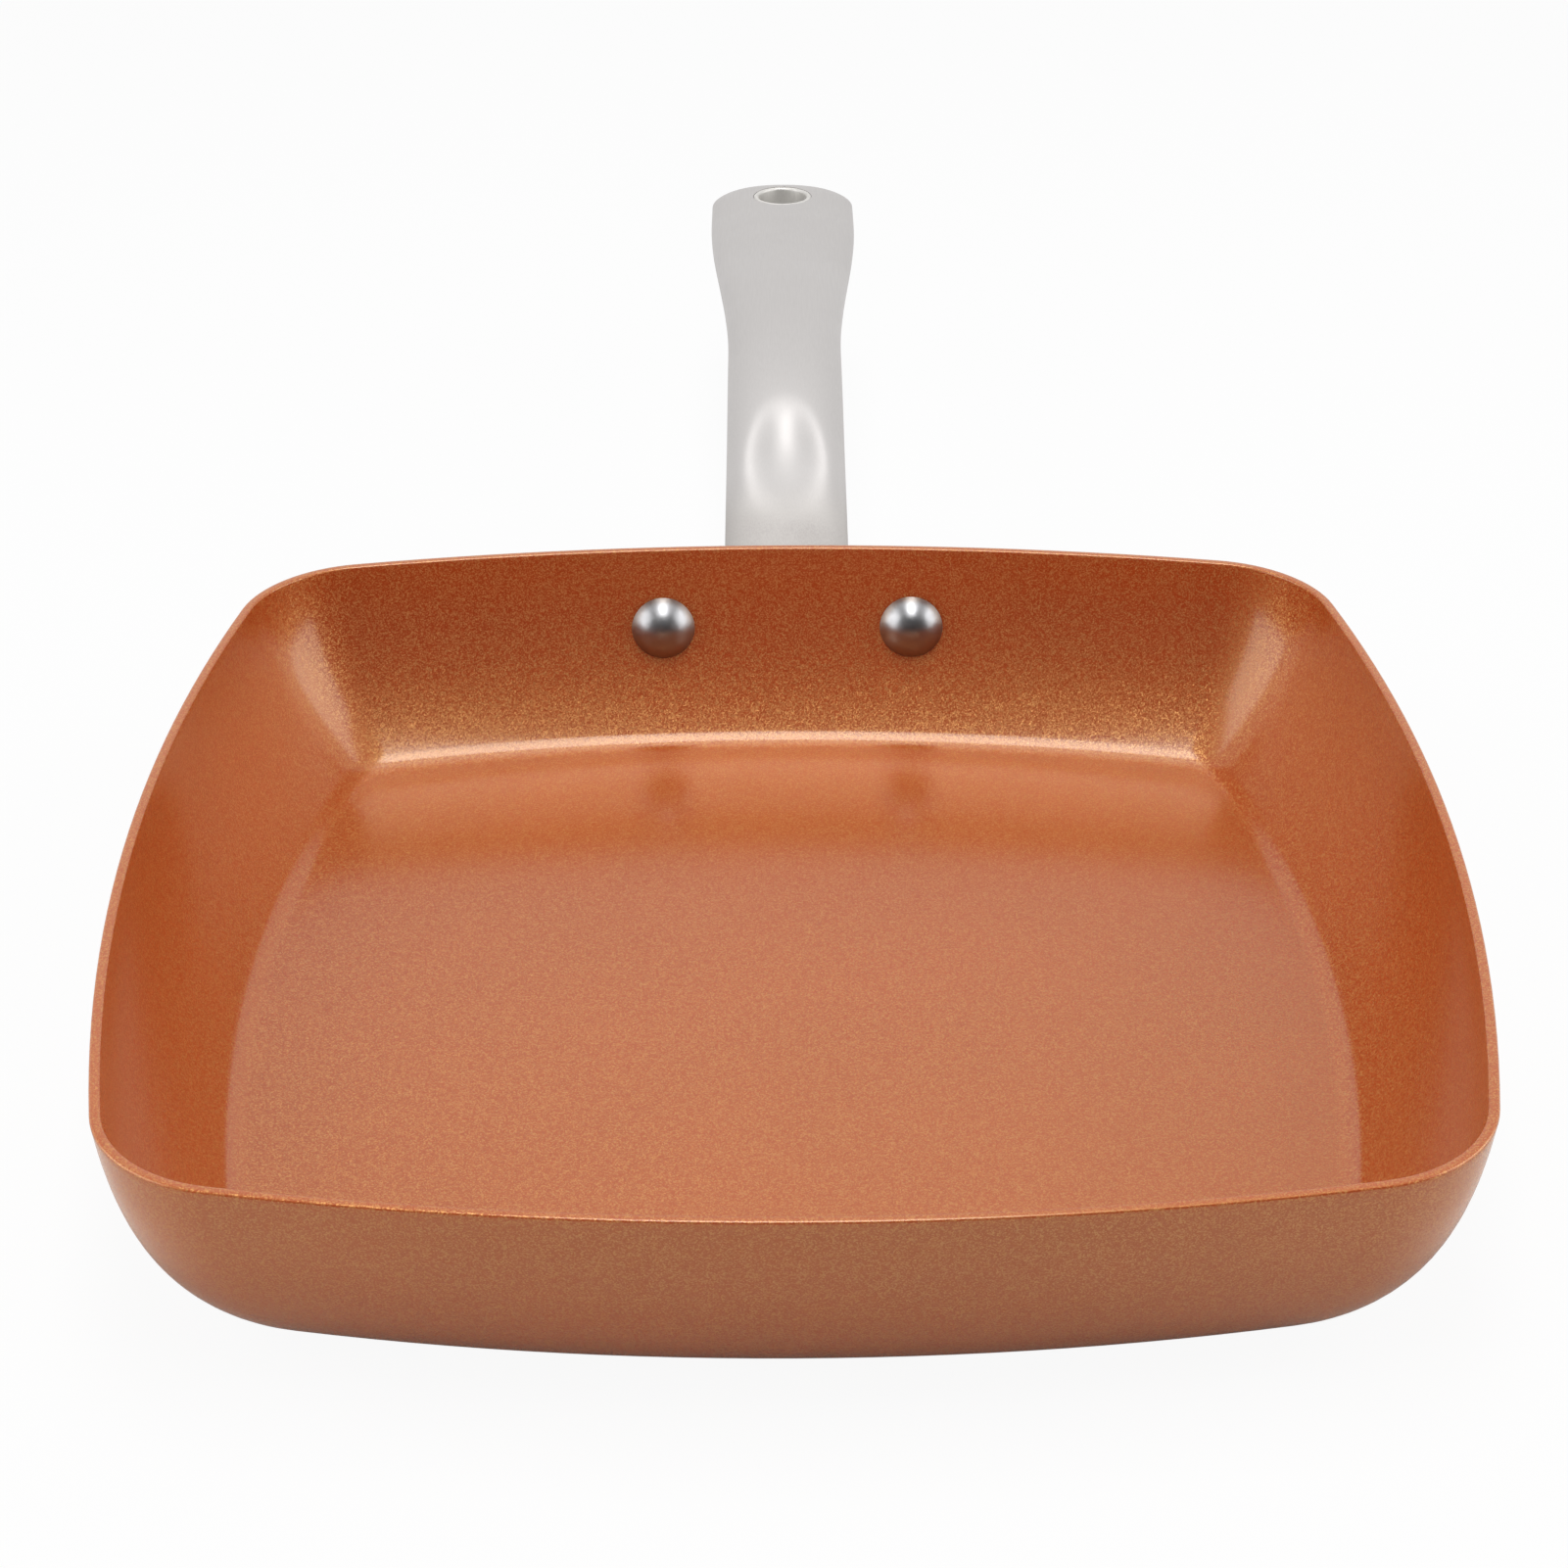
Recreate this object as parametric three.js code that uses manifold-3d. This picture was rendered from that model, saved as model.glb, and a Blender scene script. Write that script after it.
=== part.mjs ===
// Square frying pan: a drawn aluminium pan with a hollow steel handle held by two rivets.
// Millimetres, +Z up. The origin is the middle of the flat base and the handle points along +Y.

import * as THREE from 'three';
import { mergeVertices } from 'three/addons/utils/BufferGeometryUtils.js';
import Module from 'manifold-3d';

const wasm = await Module();
wasm.setup();

// Pan: widths are taken across the middle of two opposite sides, outside.
const RIM_WIDTH = 200;
const RIM_BOW_RADIUS = 408;
const RIM_CORNER_RADIUS = 22;
const RIM_LEAN = THREE.MathUtils.degToRad(5.2);
const RIM_PULL = 12.7;
const BASE_WIDTH = 153;
const BASE_BOW_RADIUS = 300;
const BASE_CORNER_RADIUS = 16;
const BASE_PULL = 18.4;
const PAN_HEIGHT = 35;
const WALL = 1.6;
const FLOOR_THICKNESS = 4;
const FLOOR_FILLET = 3;
const RIM_EASE = 0.35;

// Turned rings in the underside of the base.
const GROOVE_COUNT = 4;
const GROOVE_FIRST_RADIUS = 22;
const GROOVE_PITCH = 14;
const GROOVE_WIDTH = 1.6;
const GROOVE_DEPTH = 0.5;

// Rivets, measured from the rim and from the middle of the back wall.
const RIVET_DROP = 14.5;
const RIVET_SPACING = 44.2;
const RIVET_SHANK = 5;
const RIVET_HEAD = 11.2;
const RIVET_HEAD_HEIGHT = 3.4;
const RIVET_TAIL = 8.6;
const RIVET_TAIL_HEIGHT = 1.8;

// Bracket: a saddle on the outside of the back wall, with a tongue inside the handle.
const BRACKET_HEIGHT = 19;
const BRACKET_THICKNESS = 2.2;
const TONGUE_LENGTH = 20;

// Handle: its spine is the seam line between the two pressings, seen from the side.
const HANDLE_REACH = 171;
const HANDLE_DROP = 12.5;
const ROOT_ANGLE = THREE.MathUtils.degToRad(30.7);
const ROOT_PULL = 58.7;
const TIP_RISE = 4.75;
const TIP_ANGLE = THREE.MathUtils.degToRad(-0.5);
const TIP_PULL = 63.4;
const ROOT_WIDTH = 22.4;
const ROOT_TAPER_LENGTH = 45;
const WAIST_WIDTH = 21.9;
const END_WIDTH = 30.4;
const FLARE_LENGTH = 77;
const PADDLE_LENGTH = 23;
const CROWN = 3.5;
const ROOT_BELLY = 6;
const GRIP_BELLY = 10;
const END_BELLY = 6.5;
const END_ROUND = 10;
const TIP_ROUND = 6;
const SECTION_SQUARENESS = 2.3;
const SHEET = 1;

// Thumb dimple in the upper pressing.
const DIMPLE_FROM_ROOT = 36;
const DIMPLE_LENGTH = 30;
const DIMPLE_WIDTH = 13.2;
const DIMPLE_DEPTH = 1.6;
const DIMPLE_EGG = 0.22;
const DIMPLE_SOFTNESS = 0.25;

// Hanging hole.
const HOLE_DIAMETER = 10.4;
const HOLE_FROM_TIP = 12;
const EYELET_WALL = 1.1;

// Clearances between neighbours.
const FIT_GAP = 0.3;
const HEAD_SEAT_GAP = 0.55;

// Facet counts.
const SIDE_STEPS = 6;
const CORNER_STEPS = 5;
const WALL_STEPS = 8;
const FILLET_STEPS = 3;
const SECTION_STEPS = 24;
const SPINE_STEPS = 36;
const TIP_STEPS = 5;
const ROUND_STEPS = 24;
const GROOVE_STEPS = 48;
const DOME_STEPS = 4;
const SOLVE_STEPS = 40;

const { lerp, smoothstep } = THREE.MathUtils;

// Solids and meshes

function toSolid(geometry) {
  const bare = geometry.index ? geometry.toNonIndexed() : geometry.clone();
  bare.deleteAttribute('normal');
  bare.deleteAttribute('uv');
  const merged = mergeVertices(bare, 1e-4);
  return new wasm.Manifold(new wasm.Mesh({
    numProp: 3,
    vertProperties: new Float32Array(merged.attributes.position.array),
    triVerts: new Uint32Array(merged.index.array),
  }));
}

function toGeometry(solid) {
  const mesh = solid.getMesh();
  const geometry = new THREE.BufferGeometry();
  geometry.setAttribute('position', new THREE.BufferAttribute(mesh.vertProperties, 3));
  geometry.setIndex(new THREE.BufferAttribute(mesh.triVerts, 1));
  geometry.computeVertexNormals();
  return geometry;
}

function middleOf(ring) {
  const sum = ring.reduce((total, point) => total.add(point), new THREE.Vector3());
  return sum.divideScalar(ring.length);
}

// A closed skin through rings of equal counts. Each ring turns anticlockwise seen from the next.
function loft(rings) {
  const count = rings[0].length;
  const points = [...rings.flat(), middleOf(rings[0]), middleOf(rings.at(-1))];
  const firstMiddle = rings.length * count;
  const lastMiddle = firstMiddle + 1;
  const lastRow = (rings.length - 1) * count;
  const index = [];
  for (let j = 0; j < count; j += 1) {
    const k = (j + 1) % count;
    index.push(firstMiddle, k, j);
    for (let row = 0; row < lastRow; row += count) {
      index.push(row + j, row + k, row + count + k);
      index.push(row + j, row + count + k, row + count + j);
    }
    index.push(lastMiddle, lastRow + j, lastRow + k);
  }
  const geometry = new THREE.BufferGeometry().setFromPoints(points);
  geometry.setIndex(index);
  return geometry;
}

// Finds where a rising function of 0 to 1 crosses a target.
function solve(rising, target) {
  let low = 0;
  let high = 1;
  for (let step = 0; step < SOLVE_STEPS; step += 1) {
    const middle = (low + high) / 2;
    if (rising(middle) < target) low = middle;
    else high = middle;
  }
  return (low + high) / 2;
}

// Pan wall: the outer profile runs from the rim (0) to the edge of the base (1).

const rimHalf = RIM_WIDTH / 2;
const baseHalf = BASE_WIDTH / 2;

const wallProfile = new THREE.CubicBezierCurve(
  new THREE.Vector2(rimHalf, PAN_HEIGHT),
  new THREE.Vector2(rimHalf - RIM_PULL * Math.sin(RIM_LEAN), PAN_HEIGHT - RIM_PULL * Math.cos(RIM_LEAN)),
  new THREE.Vector2(baseHalf + BASE_PULL, 0),
  new THREE.Vector2(baseHalf, 0),
);

function wallNormal(u) {
  const along = wallProfile.getTangent(u);
  return new THREE.Vector2(-along.y, along.x);
}

// The profile moved outwards by a distance, square to the wall.
function wallPoint(u, outwards) {
  return wallProfile.getPoint(u).addScaledVector(wallNormal(u), outwards);
}

// The two radii of the outline that belongs to a profile point, moved to another half width.
function outlineRadii(u, half) {
  const own = wallProfile.getPoint(u).x;
  const share = (rimHalf - own) / (rimHalf - baseHalf);
  const moved = half - own;
  return {
    bow: lerp(RIM_BOW_RADIUS, BASE_BOW_RADIUS, share) + moved,
    corner: lerp(RIM_CORNER_RADIUS, BASE_CORNER_RADIUS, share) + moved,
  };
}

function quarterTurns(point, count) {
  return point.clone().applyAxisAngle(new THREE.Vector3(0, 0, 1), (count * Math.PI) / 2);
}

// Four shallow side arcs joined by corner arcs, tangent where they meet.
function squareRing(u, half, height) {
  const { bow, corner } = outlineRadii(u, half);
  const shift = bow - half;
  const reach = bow - corner;
  const centre = (Math.sqrt(2 * reach * reach - shift * shift) - shift) / 2;
  const swing = Math.atan2(centre, centre + shift);
  const quarter = [];
  for (let i = 0; i < SIDE_STEPS; i += 1) {
    const angle = swing * ((2 * i) / SIDE_STEPS - 1);
    quarter.push(new THREE.Vector3(bow * Math.cos(angle) - shift, bow * Math.sin(angle), height));
  }
  for (let i = 0; i < CORNER_STEPS; i += 1) {
    const angle = lerp(swing, Math.PI / 2 - swing, i / CORNER_STEPS);
    const x = centre + corner * Math.cos(angle);
    const y = centre + corner * Math.sin(angle);
    quarter.push(new THREE.Vector3(x, y, height));
  }
  return [0, 1, 2, 3].flatMap((side) => quarter.map((point) => quarterTurns(point, side)));
}

function ringAt(u, point) {
  return squareRing(u, point.x, point.y);
}

// The whole pan as a block, grown by a distance: it cuts what lies against the wall.
function panBlock(outwards) {
  const rings = [];
  for (let i = WALL_STEPS; i >= 0; i -= 1) {
    const u = i / WALL_STEPS;
    rings.push(ringAt(u, wallPoint(u, outwards)));
  }
  return toSolid(loft(rings));
}

// Where the inner wall turns into the fillet at the floor.
const filletCentreOffset = -(WALL + FLOOR_FILLET);
const filletHeight = FLOOR_THICKNESS + FLOOR_FILLET;
const filletStart = solve((u) => -wallPoint(u, filletCentreOffset).y, -filletHeight);

function panRings() {
  const rings = [];
  for (let i = WALL_STEPS; i > 0; i -= 1) {
    const u = i / WALL_STEPS;
    rings.push(ringAt(u, wallPoint(u, 0)));
  }
  const outerTop = rimHalf;
  const innerTop = rimHalf - WALL;
  rings.push(squareRing(0, outerTop, PAN_HEIGHT - RIM_EASE));
  rings.push(squareRing(0, outerTop - RIM_EASE, PAN_HEIGHT));
  rings.push(squareRing(0, innerTop + RIM_EASE, PAN_HEIGHT));
  rings.push(squareRing(0, innerTop, PAN_HEIGHT - RIM_EASE));
  for (let i = 1; i <= WALL_STEPS; i += 1) {
    const u = (filletStart * i) / WALL_STEPS;
    rings.push(ringAt(u, wallPoint(u, -WALL)));
  }
  const centre = wallPoint(filletStart, filletCentreOffset);
  const startAngle = wallNormal(filletStart).angle() - 2 * Math.PI;
  for (let i = 1; i <= FILLET_STEPS; i += 1) {
    const angle = lerp(startAngle, -Math.PI / 2, i / FILLET_STEPS);
    const half = centre.x + FLOOR_FILLET * Math.cos(angle);
    rings.push(squareRing(filletStart, half, centre.y + FLOOR_FILLET * Math.sin(angle)));
  }
  return rings;
}

// A place on the outside of the back wall, with the direction square to it.
function backWall(x, height) {
  const u = solve((v) => -wallPoint(v, 0).y, -height);
  const half = wallPoint(u, 0).x;
  const normal = wallNormal(u);
  const { bow } = outlineRadii(u, half);
  const turn = Math.asin(x / bow);
  return {
    point: new THREE.Vector3(x, bow * Math.cos(turn) - (bow - half), height),
    outwards: new THREE.Vector3(Math.sin(turn) * normal.x, Math.cos(turn) * normal.x, normal.y),
  };
}

// Turns a shape made about the Y axis so that its axis points along a direction.
function aim(geometry, point, direction) {
  const turn = new THREE.Quaternion().setFromUnitVectors(new THREE.Vector3(0, 1, 0), direction);
  return geometry.applyQuaternion(turn).translate(point.x, point.y, point.z);
}

// Rivets

const rivetHeight = PAN_HEIGHT - RIVET_DROP;
const rivetSeats = [-RIVET_SPACING / 2, RIVET_SPACING / 2].map((x) => backWall(x, rivetHeight));

// A low dome on a flat ring: points from its top to its foot, or the other way round.
function domeProfile(diameter, height, foot, sign) {
  const half = diameter / 2;
  const radius = (half * half + height * height) / (2 * height);
  const spread = Math.asin(half / radius);
  const points = [];
  for (let i = 0; i <= DOME_STEPS; i += 1) {
    const angle = (spread * i) / DOME_STEPS;
    const drop = radius * (1 - Math.cos(angle));
    points.push(new THREE.Vector2(radius * Math.sin(angle), foot + sign * (height - drop)));
  }
  points[0].x = 0;
  return points;
}

function rivetGeometry() {
  const headFoot = -(WALL + HEAD_SEAT_GAP);
  const tailFoot = BRACKET_THICKNESS + 2 * FIT_GAP;
  const shank = RIVET_SHANK / 2;
  const profile = [
    ...domeProfile(RIVET_HEAD, RIVET_HEAD_HEIGHT, headFoot, -1),
    new THREE.Vector2(shank, headFoot),
    new THREE.Vector2(shank, tailFoot),
    ...domeProfile(RIVET_TAIL, RIVET_TAIL_HEIGHT, tailFoot, 1).reverse(),
  ];
  return new THREE.LatheGeometry(profile, ROUND_STEPS);
}

// One clearance hole for each shank, through wall and bracket.
function rivetHoles() {
  const radius = RIVET_SHANK / 2 + FIT_GAP;
  const length = 2 * (WALL + BRACKET_THICKNESS + HEAD_SEAT_GAP + FIT_GAP);
  return rivetSeats.map(({ point, outwards }) => {
    const drill = new THREE.CylinderGeometry(radius, radius, length, ROUND_STEPS);
    return toSolid(aim(drill, point, outwards));
  });
}

function drillRivetHoles(solid) {
  return rivetHoles().reduce((drilled, hole) => drilled.subtract(hole), solid);
}

// Rings turned into the underside, each a lathe of a small V section.
function baseGrooves() {
  const grooves = [];
  for (let i = 0; i < GROOVE_COUNT; i += 1) {
    const radius = GROOVE_FIRST_RADIUS + i * GROOVE_PITCH;
    const profile = [
      new THREE.Vector2(radius - GROOVE_WIDTH, -GROOVE_DEPTH),
      new THREE.Vector2(radius + GROOVE_WIDTH, -GROOVE_DEPTH),
      new THREE.Vector2(radius, GROOVE_DEPTH),
      new THREE.Vector2(radius - GROOVE_WIDTH, -GROOVE_DEPTH),
    ];
    const ring = new THREE.LatheGeometry(profile, GROOVE_STEPS);
    grooves.push(toSolid(ring.rotateX(Math.PI / 2)));
  }
  return grooves;
}

function panBody() {
  const shell = drillRivetHoles(toSolid(loft(panRings())));
  return baseGrooves().reduce((turned, groove) => turned.subtract(groove), shell);
}

// Handle

const bracketBack = FIT_GAP + BRACKET_THICKNESS;
const root = backWall(0, PAN_HEIGHT - HANDLE_DROP);
const rootStart = root.point.clone().addScaledVector(root.outwards, bracketBack);
const rootWay = new THREE.Vector3(0, Math.cos(ROOT_ANGLE), Math.sin(ROOT_ANGLE));
const tipWay = new THREE.Vector3(0, Math.cos(TIP_ANGLE), Math.sin(TIP_ANGLE));
const tip = new THREE.Vector3(0, rootStart.y + HANDLE_REACH, PAN_HEIGHT + TIP_RISE);
const spine = new THREE.CubicBezierCurve3(
  rootStart,
  rootStart.clone().addScaledVector(rootWay, ROOT_PULL),
  tip.clone().addScaledVector(tipWay, -TIP_PULL),
  tip,
);
const spineLength = spine.getLength();
const rootOverrun = GRIP_BELLY;

// Point, direction and upward normal at a distance along the spine; before the root it runs straight.
function spineFrame(distance) {
  const share = Math.min(Math.max(distance / spineLength, 0), 1);
  const along = spine.getTangentAt(share);
  const point = spine.getPointAt(share).addScaledVector(along, Math.min(distance, 0));
  return { point, along, up: new THREE.Vector3(0, -along.z, along.y) };
}

// Quarter round: 0 at the edge, 1 from one radius inwards.
function roundOff(fromEdge, radius) {
  const short = Math.max(0, 1 - fromEdge / radius);
  return Math.sqrt(Math.max(0, 1 - short * short));
}

// Half width, crown and belly of the handle at a distance along the spine, drawn in by an inset.
function handleSection(distance, inset) {
  const flareEnd = spineLength - PADDLE_LENGTH;
  const flare = smoothstep(distance, flareEnd - FLARE_LENGTH, flareEnd);
  const taper = smoothstep(distance, 0, ROOT_TAPER_LENGTH);
  const width = lerp(ROOT_WIDTH, WAIST_WIDTH, taper) + (END_WIDTH - WAIST_WIDTH) * flare;
  const belly = lerp(ROOT_BELLY, GRIP_BELLY, taper) + (END_BELLY - GRIP_BELLY) * flare;
  const fromTip = spineLength - inset - distance;
  const plan = roundOff(fromTip, END_ROUND - inset);
  const side = roundOff(fromTip, TIP_ROUND - inset);
  return {
    half: (width / 2 - inset) * plan,
    crown: (CROWN - inset) * side,
    belly: (belly - inset) * side,
  };
}

// Depth of the egg-shaped dimple below the crown: a shallow bowl with a soft edge.
function dimpleDepth(x, distance) {
  const along = (distance - DIMPLE_FROM_ROOT) / (DIMPLE_LENGTH / 2);
  const across = x / ((DIMPLE_WIDTH / 2) * (1 - DIMPLE_EGG * along));
  const bowl = 1 - along * along - across * across;
  const edge = THREE.MathUtils.clamp(bowl + DIMPLE_SOFTNESS, 0, 2 * DIMPLE_SOFTNESS);
  return DIMPLE_DEPTH * Math.max(bowl, (edge * edge) / (4 * DIMPLE_SOFTNESS));
}

function handleRing(distance, inset) {
  const { point, up } = spineFrame(distance);
  const { half, crown, belly } = handleSection(distance, inset);
  const power = 2 / SECTION_SQUARENESS;
  const ring = [];
  for (let i = 0; i < SECTION_STEPS; i += 1) {
    const angle = (2 * Math.PI * i) / SECTION_STEPS;
    const across = Math.sign(Math.cos(angle)) * Math.abs(Math.cos(angle)) ** power;
    const rise = Math.sign(Math.sin(angle)) * Math.abs(Math.sin(angle)) ** power;
    const x = -half * across;
    const height = rise > 0 ? rise * crown - dimpleDepth(x, distance) : rise * belly;
    ring.push(point.clone().addScaledVector(up, height).setX(x));
  }
  return ring;
}

// Distances of the rings: even along the grip, by angle round the end.
function handleStations(inset) {
  const endRadius = END_ROUND - inset;
  const straight = spineLength - inset - endRadius;
  const stations = [-rootOverrun];
  for (let i = 0; i <= SPINE_STEPS; i += 1) stations.push((straight * i) / SPINE_STEPS);
  for (let i = 1; i < TIP_STEPS; i += 1) {
    stations.push(straight + endRadius * Math.sin((Math.PI * i) / (2 * TIP_STEPS)));
  }
  stations.push(straight + endRadius * Math.sin((Math.PI * (TIP_STEPS - 0.4)) / (2 * TIP_STEPS)));
  return stations;
}

function handleBlock(inset, last = Infinity) {
  const stations = handleStations(inset).filter((distance) => distance < last);
  if (last < spineLength) stations.push(last);
  return toSolid(loft(stations.map((distance) => handleRing(distance, inset))));
}

// A block that holds everything above (1) or below (-1) the seam line, half a gap away from it.
function seamSide(sign) {
  const far = sign * RIM_WIDTH;
  const outline = [];
  for (let i = -1; i <= SPINE_STEPS; i += 1) {
    const { point, up } = spineFrame(i < 0 ? -2 * rootOverrun : (spineLength * i) / SPINE_STEPS);
    const edge = point.addScaledVector(up, (sign * FIT_GAP) / 2);
    outline.push(new THREE.Vector2(edge.y, edge.z));
  }
  const first = outline[0];
  const last = outline.at(-1);
  outline.push(new THREE.Vector2(last.x + END_WIDTH, last.y));
  outline.push(new THREE.Vector2(last.x + END_WIDTH, last.y + far));
  outline.push(new THREE.Vector2(first.x, first.y + far));
  const depth = 2 * END_WIDTH;
  const block = new THREE.ExtrudeGeometry(new THREE.Shape(outline), { depth, bevelEnabled: false });
  const sideways = new THREE.Matrix4().makeBasis(
    new THREE.Vector3(0, 1, 0),
    new THREE.Vector3(0, 0, 1),
    new THREE.Vector3(1, 0, 0),
  );
  return toSolid(block.applyMatrix4(sideways).translate(-depth / 2, 0, 0));
}

// Upright tube or drill at the hanging hole, longer than the handle is thick.
const holeFrame = spineFrame(spineLength - HOLE_FROM_TIP);
const holeHalfLength = CROWN + GRIP_BELLY;

function holeDrill(radius) {
  const drill = new THREE.CylinderGeometry(radius, radius, 2 * holeHalfLength, ROUND_STEPS);
  return toSolid(aim(drill, holeFrame.point, holeFrame.up));
}

const holeRadius = HOLE_DIAMETER / 2;
const eyeletRadius = holeRadius + EYELET_WALL;
const handleOuter = handleBlock(0);

function handleShell() {
  const hollow = handleOuter.subtract(handleBlock(SHEET));
  const open = hollow.subtract(holeDrill(eyeletRadius + FIT_GAP));
  return open.subtract(panBlock(bracketBack + FIT_GAP));
}

function hangingEyelet() {
  const tube = holeDrill(eyeletRadius).subtract(holeDrill(holeRadius));
  return tube.intersect(handleOuter);
}

// Bracket: a plate with round ends about the two rivets, bent to the wall, and its tongue.
function handleBracket() {
  const endRadius = BRACKET_HEIGHT / 2;
  const halfSpacing = RIVET_SPACING / 2;
  const outline = new THREE.Shape();
  outline.absarc(halfSpacing, 0, endRadius, -Math.PI / 2, Math.PI / 2);
  outline.absarc(-halfSpacing, 0, endRadius, Math.PI / 2, (3 * Math.PI) / 2);
  const depth = 4 * BRACKET_HEIGHT;
  const settings = { depth, bevelEnabled: false, curveSegments: ROUND_STEPS / 2 };
  const prism = new THREE.ExtrudeGeometry(outline, settings);
  const { point, outwards } = backWall(0, rivetHeight);
  const upright = prism.translate(0, 0, -depth / 2).rotateX(-Math.PI / 2);
  const plate = toSolid(aim(upright, point, outwards)).intersect(panBlock(bracketBack));
  const tongue = handleBlock(SHEET + FIT_GAP, TONGUE_LENGTH);
  return drillRivetHoles(plate.add(tongue).subtract(panBlock(FIT_GAP)));
}

// Finishes and assembly

function finish(color, roughness, metalness) {
  return new THREE.MeshStandardMaterial({ color, roughness, metalness });
}

const pan = new THREE.Group();

function place(name, geometry, material) {
  const mesh = new THREE.Mesh(geometry, material);
  mesh.name = name;
  pan.add(mesh);
}

place('pan_body', toGeometry(panBody()), finish('#b5653f', 0.4, 0.5));

const shell = handleShell();
place('handle_upper_shell', toGeometry(shell.intersect(seamSide(1))), finish('#c6c4c2', 0.4, 0.9));
place('handle_lower_shell', toGeometry(shell.intersect(seamSide(-1))), finish('#c0bebc', 0.4, 0.9));
place('hanging_eyelet', toGeometry(hangingEyelet()), finish('#c9c5be', 0.35, 0.9));
place('handle_bracket', toGeometry(handleBracket()), finish('#b8b6b4', 0.45, 0.9));

['rivet_left', 'rivet_right'].forEach((name, i) => {
  const { point, outwards } = rivetSeats[i];
  place(name, toGeometry(toSolid(aim(rivetGeometry(), point, outwards))), finish('#d8d8da', 0.15, 1));
});

export default pan;
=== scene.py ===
import math
from bisect import bisect_left

import bmesh
import bpy
from bpy.props import FloatProperty, FloatVectorProperty, IntProperty, PointerProperty
from bpy.types import NodeSocket, Operator, Panel, PropertyGroup
from mathutils import Matrix, Vector


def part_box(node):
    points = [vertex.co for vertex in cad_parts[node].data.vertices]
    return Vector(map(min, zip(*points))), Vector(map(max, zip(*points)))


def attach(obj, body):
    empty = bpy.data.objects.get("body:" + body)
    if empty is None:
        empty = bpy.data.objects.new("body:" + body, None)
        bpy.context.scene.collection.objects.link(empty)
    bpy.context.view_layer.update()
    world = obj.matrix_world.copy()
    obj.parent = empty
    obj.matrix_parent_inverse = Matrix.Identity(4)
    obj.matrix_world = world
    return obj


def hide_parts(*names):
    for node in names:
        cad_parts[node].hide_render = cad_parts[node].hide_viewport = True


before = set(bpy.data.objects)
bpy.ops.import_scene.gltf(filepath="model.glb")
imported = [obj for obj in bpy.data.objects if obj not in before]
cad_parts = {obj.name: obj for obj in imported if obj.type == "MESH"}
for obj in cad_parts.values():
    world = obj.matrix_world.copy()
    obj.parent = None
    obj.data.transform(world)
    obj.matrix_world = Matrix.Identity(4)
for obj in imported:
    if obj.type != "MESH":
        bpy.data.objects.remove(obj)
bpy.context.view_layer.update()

bl_info = {
    "name": "Square Frying Pan",
    "version": (1, 0, 0),
    "blender": (4, 5, 0),
    "location": "View3D > Sidebar > Pan",
    "description": "A square frying pan with a hollow steel handle, its finishes and a plain studio",
    "category": "Add Mesh",
}

PAN_LOW, PAN_HIGH = (Vector(corner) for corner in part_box("pan_body"))
WELD = 1e-7
SOLVE_STEPS = 24
SHARP = math.radians(38.0)


# Sizes and colours that a user would change

def length(name, description, default):
    return FloatProperty(
        name=name, description=description, default=default, min=0.0, precision=5, unit="LENGTH"
    )


def angle(name, description, default):
    return FloatProperty(name=name, description=description, default=math.radians(default), subtype="ANGLE")


def colour(name, description, default):
    return FloatVectorProperty(
        name=name, description=description, default=default, size=3, min=0.0, max=1.0, subtype="COLOR"
    )


def position(name, description, default):
    return FloatVectorProperty(name=name, description=description, default=default, size=3, subtype="XYZ")


def count(name, description, default):
    return IntProperty(name=name, description=description, default=default, min=1)


def power(name, description, default):
    return FloatProperty(name=name, description=description, default=default, min=0.0, unit="POWER")


class PanSizes(PropertyGroup):
    """The drawn pan: its outline, wall and floor."""

    rim_width: length("Rim width", "Across the middle of two opposite sides", PAN_HIGH.x - PAN_LOW.x)
    rim_bow: length("Rim bow", "Radius of a side's shallow curve at the rim", 0.408)
    rim_corner: length("Rim corner", "Corner radius at the rim", 0.022)
    rim_lean: angle("Rim lean", "How far the wall leans out at the rim", 5.2)
    rim_pull: length("Rim pull", "How far the wall keeps its lean below the rim", 0.0127)
    base_width: length("Base width", "Across the flat base", 0.153)
    base_bow: length("Base bow", "Radius of a side's shallow curve at the base", 0.3)
    base_corner: length("Base corner", "Corner radius at the base", 0.016)
    base_pull: length("Base pull", "How far the wall runs flat beyond the base", 0.0184)
    height: length("Height", "Base to rim", PAN_HIGH.z - PAN_LOW.z)
    wall: length("Wall", "Thickness of the wall", 0.0016)
    floor: length("Floor", "Thickness of the floor", 0.004)
    inner_pull: length("Inner pull", "How far the wall keeps its lean below the rim inside", 0.013)
    foot_width: length("Foot width", "Across the inside where the wall's line meets the floor", 0.1678)
    foot_angle: angle("Foot angle", "How steeply the wall rises from the floor inside", 47.0)
    foot_pull: length("Foot pull", "How far the wall keeps its first slope inside", 0.011)
    foot_corner: length("Foot corner", "Corner radius at the foot of the wall inside", 0.008)
    fillet: length("Fillet", "Radius between the wall and the floor inside", 0.005)
    rim_ease: length("Rim ease", "Radius of the rim's two edges", 0.0004)
    groove_first: length("First groove", "Radius of the innermost turned ring under the base", 0.022)
    groove_pitch: length("Groove pitch", "Distance between the turned rings", 0.014)
    groove_width: length("Groove width", "Half width of a turned ring", 0.0016)
    groove_depth: length("Groove depth", "Depth of a turned ring", 0.0005)
    groove_count: count("Grooves", "Number of turned rings", 4)


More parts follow.
